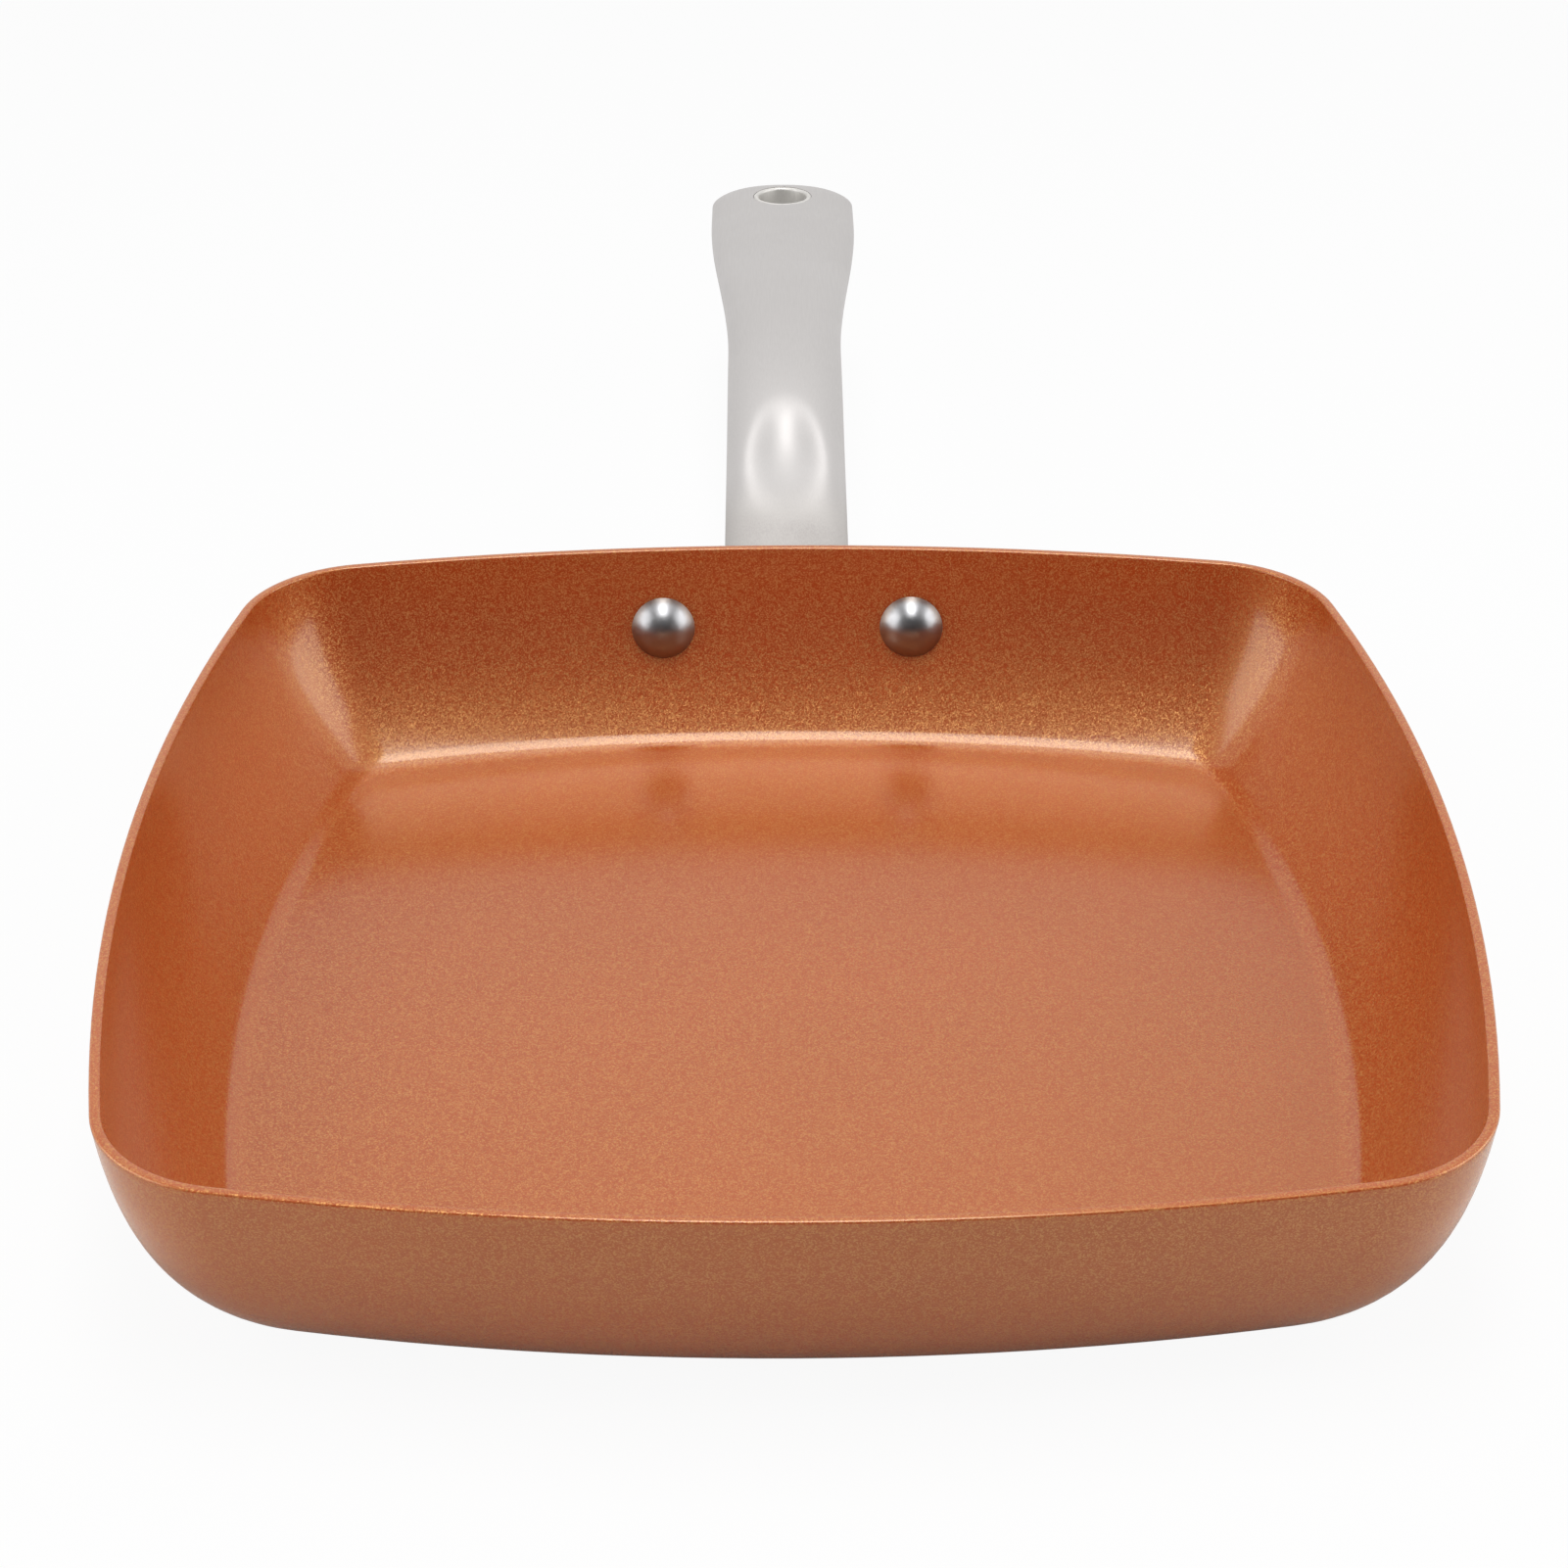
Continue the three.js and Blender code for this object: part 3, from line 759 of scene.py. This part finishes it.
class SQUAREPAN_OT_eyelet(Operator):
    """Turn the tube that lines the hanging hole, with its rolled edges"""

    bl_idname = "square_pan.eyelet"
    bl_label = "Eyelet"

    def execute(self, context):
        scene = context.scene
        pan, fasteners, handle = scene.pan_sizes, scene.fastener_sizes, scene.handle_sizes
        spine = Spine(spine_knots(pan, fasteners, handle))
        point, _, up = spine.at(spine.length - handle.hole_place)
        inner = handle.hole / 2
        outer = inner + handle.eyelet_wall
        roll = (outer - inner) / 2
        middle = inner + roll
        profile = []
        for height, start in ((handle.crown - roll, 0.0), (roll - handle.end_belly, math.pi)):
            for step in range(2 * EDGE_STEPS + 1):
                turn = start + math.pi * step / (2 * EDGE_STEPS)
                profile.append((middle + roll * math.cos(turn), height + roll * math.sin(turn)))
        profile.append(profile[0])
        bm = bmesh.new()
        turned(bm, profile, point, up, ROUND_STEPS)
        material = eyelet_material(scene.finishes)
        make_piece(bm, "hanging_hole_eyelet", "hanging_eyelet", material)
        return {"FINISHED"}


# Finishes

MARKS_PER_METRE = {"coating": 26.0, "steel": 40.0, "floor": 3.0}
MARK_NOISE = {"Detail": 3.0, "Roughness": 0.55}
MARK_RANGE = (0.35, 0.65)
FLAKES_PER_METRE = 5200.0
# Cells of the pattern that show as flakes, and how much the brightest one covers the body colour
FLAKE_RANGE = (0.4, 1.0)
FLAKE_SHARE = 0.2
FLAKE_LEAN = 0.3
COATING_ROUGHNESS = (0.35, 0.39)
COATING_MARK = 0.94
COATING_SHEEN = 1.2
CLEAR_ROUGHNESS = 0.18
CLEAR_IOR = 1.42
# Roughness of each steel, lines per metre of its brushing along x, y and z, and their depth
STEELS = {
    "satin_steel": (0.44, (5000.0, 120.0, 5000.0), 0.00002),
    "dull_painted_light_steel": (0.6, (5000.0, 5000.0, 300.0), 0.00002),
    "brushed_steel": (0.42, (120.0, 5000.0, 5000.0), 0.00002),
    "polished_steel": (0.33, (900.0, 900.0, 900.0), 0.000004),
}
BRUSH_NOISE = {"Detail": 2.0, "Roughness": 0.6}
# How far handling marks and brush lines change a steel's roughness and tint
WEAR_MARKS = 0.4
WEAR_RANGE = (0.3, 1.0)
WEAR_ROUGHNESS = (0.85, 1.15)
WEAR_TINT = (1.03, 0.95)
BUMP = 0.15
# Reach of the bowl's polish, of the weld's roughening and of the painted shade at the root, in half lengths
# of the dimple from its middle
BOWL = (0.2, 0.95)
BOWL_POLISH = 0.74
ROOT_PAINTED_SHADE = (-1.3, -0.3)
WELD_ROUGH = (-1.5, -0.5)
WELD_ROUGHNESS = 1.55
FLOOR_MARK = 0.99
FLOOR_ROUGHNESS = 0.8
FLOOR_SHEEN = 0.1
# Distances from the pan's middle over which the floor turns white in the metal; nearer in, the metal shows
# the floor without its white lift, a painted shadow round the pan
FLOOR_PAINTED_SHADOW = (0.12, 0.22)
FLOOR_WHITE = {"mirrored": 0.9, "straight": 0.93}


def put(tree, kind, settings=None, **inputs):
    """Adds a node. An input given as a socket is linked, and any other value is set."""
    node = tree.nodes.new(kind)
    for name, value in (settings or {}).items():
        setattr(node, name, value)
    for name, value in inputs.items():
        socket = node.inputs[name.replace("_", " ")]
        if isinstance(value, NodeSocket):
            tree.links.new(value, socket)
        else:
            socket.default_value = value
    return node


def mix_colours(tree, share, first, second):
    """Colour between two others."""
    node = tree.nodes.new("ShaderNodeMix")
    node.data_type = "RGBA"
    for index, value in ((0, share), (6, first), (7, second)):
        if isinstance(value, NodeSocket):
            tree.links.new(value, node.inputs[index])
        else:
            node.inputs[index].default_value = value
    return node.outputs[2]


def spread(tree, value, low, high, to_low, to_high, kind="LINEAR"):
    """Maps a value from one range to another."""
    node = put(
        tree, "ShaderNodeMapRange", {"interpolation_type": kind},
        Value=value, From_Min=low, From_Max=high, To_Min=to_low, To_Max=to_high
    )
    return node.outputs["Result"]


def rgba(values, factor=1.0):
    """Colour with full cover, made lighter or darker by a factor."""
    return (*(min(1.0, value * factor) for value in values), 1.0)


def new_group(name, inputs):
    """An empty shared effect with its inputs and the mask that it puts out."""
    group = bpy.data.node_groups.new(name, "ShaderNodeTree")
    for label, kind in inputs:
        group.interface.new_socket(name=label, in_out="INPUT", socket_type=kind)
    group.interface.new_socket(name="Mask", in_out="OUTPUT", socket_type="NodeSocketFloat")
    return group, group.nodes.new("NodeGroupInput").outputs, group.nodes.new("NodeGroupOutput").inputs


def handling_marks():
    """Faint clouds where hands and cloths have been, as a mask."""
    group = bpy.data.node_groups.get("handling_marks")
    if group:
        return group
    inputs = (("Place", "NodeSocketVector"), ("Scale", "NodeSocketFloat"))
    group, given, result = new_group("handling_marks", inputs)
    clouds = put(
        group, "ShaderNodeTexNoise", Vector=given["Place"], Scale=given["Scale"], **MARK_NOISE
    )
    group.links.new(spread(group, clouds.outputs["Fac"], *MARK_RANGE, 0.0, 1.0), result["Mask"])
    return group


def brush_lines():
    """Fine lines left by a brushing belt, along the given direction, as a mask."""
    group = bpy.data.node_groups.get("brush_lines")
    if group:
        return group
    inputs = (("Place", "NodeSocketVector"), ("Stretch", "NodeSocketVector"))
    group, given, result = new_group("brush_lines", inputs)
    drawn = put(group, "ShaderNodeVectorMath", {"operation": "MULTIPLY"})
    group.links.new(given["Place"], drawn.inputs[0])
    group.links.new(given["Stretch"], drawn.inputs[1])
    lines = put(group, "ShaderNodeTexNoise", Vector=drawn.outputs["Vector"], Scale=1.0, **BRUSH_NOISE)
    group.links.new(lines.outputs["Fac"], result["Mask"])
    return group


def new_material(name):
    """A material with its shader and the piece's own coordinates."""
    material = bpy.data.materials.new(name)
    material.use_nodes = True
    tree = material.node_tree
    shader = tree.nodes["Principled BSDF"]
    place = tree.nodes.new("ShaderNodeTexCoord").outputs["Object"]
    return material, tree, shader, place


def shared(tree, group, **inputs):
    """Mask of a shared effect."""
    node = put(tree, "ShaderNodeGroup", {"node_tree": group}, **inputs)
    return node.outputs["Mask"]


def tilted(tree, cells, amount):
    """Normals that lean a little, each cell its own way."""
    lean = put(tree, "ShaderNodeVectorMath", {"operation": "SUBTRACT"})
    tree.links.new(cells, lean.inputs[0])
    lean.inputs[1].default_value = (0.5, 0.5, 0.5)
    surface = put(tree, "ShaderNodeNewGeometry").outputs["Normal"]
    both = put(tree, "ShaderNodeVectorMath", {"operation": "MULTIPLY_ADD"})
    tree.links.new(lean.outputs["Vector"], both.inputs[0])
    both.inputs[1].default_value = (amount, amount, amount)
    tree.links.new(surface, both.inputs[2])
    whole = put(tree, "ShaderNodeVectorMath", {"operation": "NORMALIZE"})
    tree.links.new(both.outputs["Vector"], whole.inputs[0])
    return whole.outputs["Vector"]


def coating_material(finishes):
    """Orange body colour with fine golden flakes under a clear gloss."""
    material, tree, shader, place = new_material("flaked_coating")
    marks = shared(tree, handling_marks(), Place=place, Scale=MARKS_PER_METRE["coating"])
    cells = put(tree, "ShaderNodeTexVoronoi", Vector=place, Scale=FLAKES_PER_METRE).outputs["Color"]
    pick = put(tree, "ShaderNodeSeparateColor", Color=cells)
    flakes = spread(tree, pick.outputs["Red"], *FLAKE_RANGE, 0.0, FLAKE_SHARE)
    body = mix_colours(tree, marks, rgba(finishes.coating), rgba(finishes.coating, COATING_MARK))
    tree.links.new(mix_colours(tree, flakes, body, rgba(finishes.flake)), shader.inputs["Base Color"])
    tree.links.new(flakes, shader.inputs["Metallic"])
    tree.links.new(spread(tree, marks, 0.0, 1.0, *COATING_ROUGHNESS), shader.inputs["Roughness"])
    tree.links.new(tilted(tree, cells, FLAKE_LEAN), shader.inputs["Normal"])
    shader.inputs["Specular IOR Level"].default_value = COATING_SHEEN
    shader.inputs["Specular Tint"].default_value = rgba(finishes.flake)
    shader.inputs["Coat Weight"].default_value = 1.0
    shader.inputs["Coat Roughness"].default_value = CLEAR_ROUGHNESS
    shader.inputs["Coat IOR"].default_value = CLEAR_IOR
    shader.inputs["Coat Tint"].default_value = rgba(finishes.varnish)
    return material


def steel(name, tint):
    """Metal with brush lines and handling marks."""
    roughness, stretch, depth = STEELS[name]
    material, tree, shader, place = new_material(name)
    marks = shared(tree, handling_marks(), Place=place, Scale=MARKS_PER_METRE["steel"])
    lines = shared(tree, brush_lines(), Place=place, Stretch=stretch)
    both = put(tree, "ShaderNodeMath", {"operation": "MULTIPLY_ADD"})
    tree.links.new(marks, both.inputs[0])
    both.inputs[1].default_value = WEAR_MARKS
    tree.links.new(lines, both.inputs[2])
    worn = both.outputs["Value"]
    rough = spread(tree, worn, *WEAR_RANGE, *(roughness * factor for factor in WEAR_ROUGHNESS))
    tree.links.new(rough, shader.inputs["Roughness"])
    metal = mix_colours(tree, worn, *(rgba(tint, factor) for factor in WEAR_TINT))
    tree.links.new(metal, shader.inputs["Base Color"])
    bump = put(tree, "ShaderNodeBump", Height=lines, Strength=BUMP, Distance=depth)
    tree.links.new(bump.outputs["Normal"], shader.inputs["Normal"])
    shader.inputs["Metallic"].default_value = 1.0
    return material


def handle_material(scene):
    """Satin steel, brushed along the handle."""
    material = steel("satin_steel", scene.finishes.handle_steel)
    work_handle(material.node_tree, scene)
    return material


def work_handle(tree, scene):
    """Polishes the thumb dimple's bowl, roughens the handle's root by the weld, and darkens the root's
    steel as painted shade.
    """
    handle = scene.handle_sizes
    spine = Spine(spine_knots(scene.pan_sizes, scene.fastener_sizes, handle))
    middle, way, _ = spine.at(handle.dimple_place)
    along = 2 / (handle.dimple_length * way.y)
    centred = put(tree, "ShaderNodeMapping", Vector=tree.nodes["Texture Coordinate"].outputs["Object"])
    centred.inputs["Scale"].default_value = (2 / handle.dimple_width, along, 0.0)
    centred.inputs["Location"].default_value = (0.0, -middle.y * along, 0.0)
    away = put(tree, "ShaderNodeVectorMath", {"operation": "LENGTH"})
    tree.links.new(centred.outputs["Vector"], away.inputs[0])
    parts = put(tree, "ShaderNodeSeparateXYZ", Vector=centred.outputs["Vector"])
    shader = tree.nodes["Principled BSDF"]
    worn = shader.inputs["Roughness"]
    tint = shader.inputs["Base Color"]
    # Painted shade: the steel darkens towards the handle's root
    weld = spread(tree, parts.outputs["Y"], *ROOT_PAINTED_SHADE, 1.0, 0.0, "SMOOTHSTEP")
    darkened = mix_colours(tree, weld, tint.links[0].from_socket, rgba(scene.finishes.root_shade_steel))
    tree.links.new(darkened, tint)
    bowl = spread(tree, away.outputs["Value"], *BOWL, BOWL_POLISH, 1.0, "SMOOTHSTEP")
    root = spread(tree, parts.outputs["Y"], *WELD_ROUGH, WELD_ROUGHNESS, 1.0, "SMOOTHSTEP")
    for factor in (bowl, root):
        worked = put(tree, "ShaderNodeMath", {"operation": "MULTIPLY"})
        tree.links.new(worn.links[0].from_socket, worked.inputs[0])
        tree.links.new(factor, worked.inputs[1])
        tree.links.new(worked.outputs["Value"], worn)


def bracket_material(finishes):
    """Steel brushed across the plate."""
    return steel("brushed_steel", finishes.bracket_steel)


def rivet_material(finishes):
    """Polished steel with faint turning marks."""
    return steel("polished_steel", finishes.rivet_steel)


def eyelet_material(finishes):
    """Dull steel of the tube that lines the hanging hole, made lighter than the handle's steel as painted
    light.
    """
    return steel("dull_painted_light_steel", finishes.eyelet_painted_light_steel)


def background_rays(tree, plain, mirrored, straight):
    """Picks the level for rays off matt surfaces, off metal or glass, or straight from the camera."""
    rays = put(tree, "ShaderNodeLightPath").outputs
    either = put(tree, "ShaderNodeMath", {"operation": "MAXIMUM"})
    tree.links.new(rays["Is Glossy Ray"], either.inputs[0])
    tree.links.new(rays["Is Transmission Ray"], either.inputs[1])
    unseen = spread(tree, either.outputs["Value"], 0.0, 1.0, plain, mirrored)
    return spread(tree, rays["Is Camera Ray"], 0.0, 1.0, unseen, straight)


def floor_material(finishes):
    """Pale matt floor with a faint unevenness, lifted to white for the camera, and in metal lifted only
    away from the pan, a painted shadow round it.
    """
    material, tree, shader, place = new_material("studio_floor")
    marks = shared(tree, handling_marks(), Place=place, Scale=MARKS_PER_METRE["floor"])
    pale = mix_colours(tree, marks, rgba(finishes.floor), rgba(finishes.floor, FLOOR_MARK))
    tree.links.new(pale, shader.inputs["Base Color"])
    shader.inputs["Roughness"].default_value = FLOOR_ROUGHNESS
    shader.inputs["Specular IOR Level"].default_value = FLOOR_SHEEN
    far = put(tree, "ShaderNodeVectorMath", {"operation": "LENGTH"})
    tree.links.new(place, far.inputs[0])
    # Painted shadow: in metal the floor's white lift fades out towards the pan
    clear = spread(tree, far.outputs["Value"], *FLOOR_PAINTED_SHADOW, 0.0, FLOOR_WHITE["mirrored"])
    white = put(tree, "ShaderNodeEmission", Color=(1.0, 1.0, 1.0, 1.0), Strength=1.0)
    both = put(tree, "ShaderNodeMixShader")
    tree.links.new(background_rays(tree, 0.0, clear, FLOOR_WHITE["straight"]), both.inputs[0])
    tree.links.new(shader.outputs["BSDF"], both.inputs[1])
    tree.links.new(white.outputs["Emission"], both.inputs[2])
    tree.links.new(both.outputs["Shader"], tree.nodes["Material Output"].inputs["Surface"])
    return material


# Studio

FLOOR_HALF = 4.0
FLOOR_STEPS = 8
FLOOR_GAP = 0.0002
SENSOR = 36.0
NEAR_CLIP = 0.01
# Where each lamp hangs and how large it is
LAMPS = {
    "left_lamp": ((-0.66, -0.12, 0.42), (0.6, 0.7)),
    "right_lamp": ((0.66, -0.02, 0.42), (0.56, 0.7)),
    "top_lamp": ((0.0, -0.09, 1.0), (0.32, 0.72)),
    "back_lamp": ((0.0, 0.55, 1.0), (0.24, 0.4)),
}
# Surroundings from the camera's side to the far side: directions, then levels there
SHOWN_WAYS = (-0.7, 0.5)
SHOWN_LEVELS = (0.05, 1.0)
FILL_WAYS = (-0.9, 0.1)
FILL_LEVELS = (0.62, 0.27)


class SQUAREPAN_OT_studio(Operator):
    """Set the floor, the lamps, the surroundings and the camera"""

    bl_idname = "square_pan.studio"
    bl_label = "Studio"

    def execute(self, context):
        scene = context.scene
        studio = scene.studio_settings
        self.lay_floor(scene)
        powers = (studio.side_power, studio.side_power, studio.top_power, studio.back_power)
        for name, watts in zip(LAMPS, powers):
            self.hang_lamp(scene, name, watts)
        self.light_surroundings(scene)
        self.stand_camera(scene, studio)
        scene.view_settings.view_transform = "Standard"
        return {"FINISHED"}

    def lay_floor(self, scene):
        """A level sheet just below the base."""
        bm = bmesh.new()
        bmesh.ops.create_grid(bm, x_segments=FLOOR_STEPS, y_segments=FLOOR_STEPS, size=FLOOR_HALF)
        bmesh.ops.translate(bm, verts=bm.verts, vec=(0.0, 0.0, -FLOOR_GAP))
        mesh = bpy.data.meshes.new("studio_floor")
        bm.to_mesh(mesh)
        bm.free()
        mesh.materials.append(floor_material(scene.finishes))
        floor = bpy.data.objects.new("studio_floor", mesh)
        scene.collection.objects.link(floor)

    def hang_lamp(self, scene, name, watts):
        """A soft panel: one at a side faces across, and one overhead faces straight down."""
        where, sizes = LAMPS[name]
        lamp = bpy.data.lights.new(name, "AREA")
        lamp.shape = "RECTANGLE"
        lamp.size, lamp.size_y = sizes
        lamp.energy = watts
        stand = bpy.data.objects.new(name, lamp)
        way = Vector((-where[0], 0.0, 0.0)) if where[0] else Vector((0.0, 0.0, -1.0))
        stand.location = where
        stand.rotation_euler = way.to_track_quat("-Z", "Y").to_euler()
        scene.collection.objects.link(stand)

    def light_surroundings(self, scene):
        """White behind the object, darker in the metal towards the camera, with a fill on matt surfaces."""
        world = bpy.data.worlds.new("studio_surroundings")
        world.use_nodes = True
        scene.world = world
        tree = world.node_tree
        background = tree.nodes["Background"]
        way = put(tree, "ShaderNodeTexCoord").outputs["Generated"]
        parts = put(tree, "ShaderNodeSeparateXYZ", Vector=way)
        shown = spread(tree, parts.outputs["Y"], *SHOWN_WAYS, *SHOWN_LEVELS)
        fill = spread(tree, parts.outputs["Y"], *FILL_WAYS, *FILL_LEVELS)
        tree.links.new(background_rays(tree, fill, shown, 1.0), background.inputs["Strength"])
        background.inputs["Color"].default_value = (1.0, 1.0, 1.0, 1.0)

    def stand_camera(self, scene, studio):
        """The camera of the photograph."""
        camera = bpy.data.cameras.new("photo_camera")
        camera.sensor_width = SENSOR
        camera.lens = studio.lens
        camera.clip_start = NEAR_CLIP
        stand = bpy.data.objects.new("photo_camera", camera)
        turn = Matrix.Rotation(studio.turn, 4, "Z")
        tilt = Matrix.Rotation(math.pi / 2 - studio.elevation, 4, "X")
        roll = Matrix.Rotation(studio.roll, 4, "Z")
        back = Vector((0.0, -math.cos(studio.elevation), math.sin(studio.elevation))) * studio.distance
        stand.matrix_world = Matrix.Translation(Vector(studio.aim) + turn @ back) @ turn @ tilt @ roll
        scene.collection.objects.link(stand)
        scene.camera = stand


class SQUAREPAN_PT_panel(Panel):
    """Lists the steps that make the pan."""

    bl_idname = "SQUAREPAN_PT_panel"
    bl_label = "Square Pan"
    bl_space_type = "VIEW_3D"
    bl_region_type = "UI"
    bl_category = "Pan"

    def draw(self, context):
        for operator in OPERATORS:
            self.layout.operator(operator.bl_idname)
        for name in SETTINGS:
            group = getattr(context.scene, name)
            box = self.layout.box()
            for key in group.__annotations__:
                box.prop(group, key)


OPERATORS = (
    SQUAREPAN_OT_body,
    SQUAREPAN_OT_rivets,
    SQUAREPAN_OT_bracket,
    SQUAREPAN_OT_handle,
    SQUAREPAN_OT_eyelet,
    SQUAREPAN_OT_studio,
)
SETTINGS = {
    "pan_sizes": PanSizes,
    "handle_sizes": HandleSizes,
    "fastener_sizes": FastenerSizes,
    "finishes": Finishes,
    "studio_settings": StudioSettings,
}


def register():
    for group in SETTINGS.values():
        bpy.utils.register_class(group)
    for name, group in SETTINGS.items():
        setattr(bpy.types.Scene, name, PointerProperty(type=group))
    for operator in OPERATORS:
        bpy.utils.register_class(operator)
    bpy.utils.register_class(SQUAREPAN_PT_panel)


def unregister():
    bpy.utils.unregister_class(SQUAREPAN_PT_panel)
    for operator in reversed(OPERATORS):
        bpy.utils.unregister_class(operator)
    for name in SETTINGS:
        delattr(bpy.types.Scene, name)
    for group in SETTINGS.values():
        bpy.utils.unregister_class(group)


def main():
    register()
    bpy.ops.square_pan.body()
    bpy.ops.square_pan.rivets()
    bpy.ops.square_pan.bracket()
    bpy.ops.square_pan.handle()
    bpy.ops.square_pan.eyelet()
    bpy.ops.square_pan.studio()


if __name__ == "__main__":
    main()
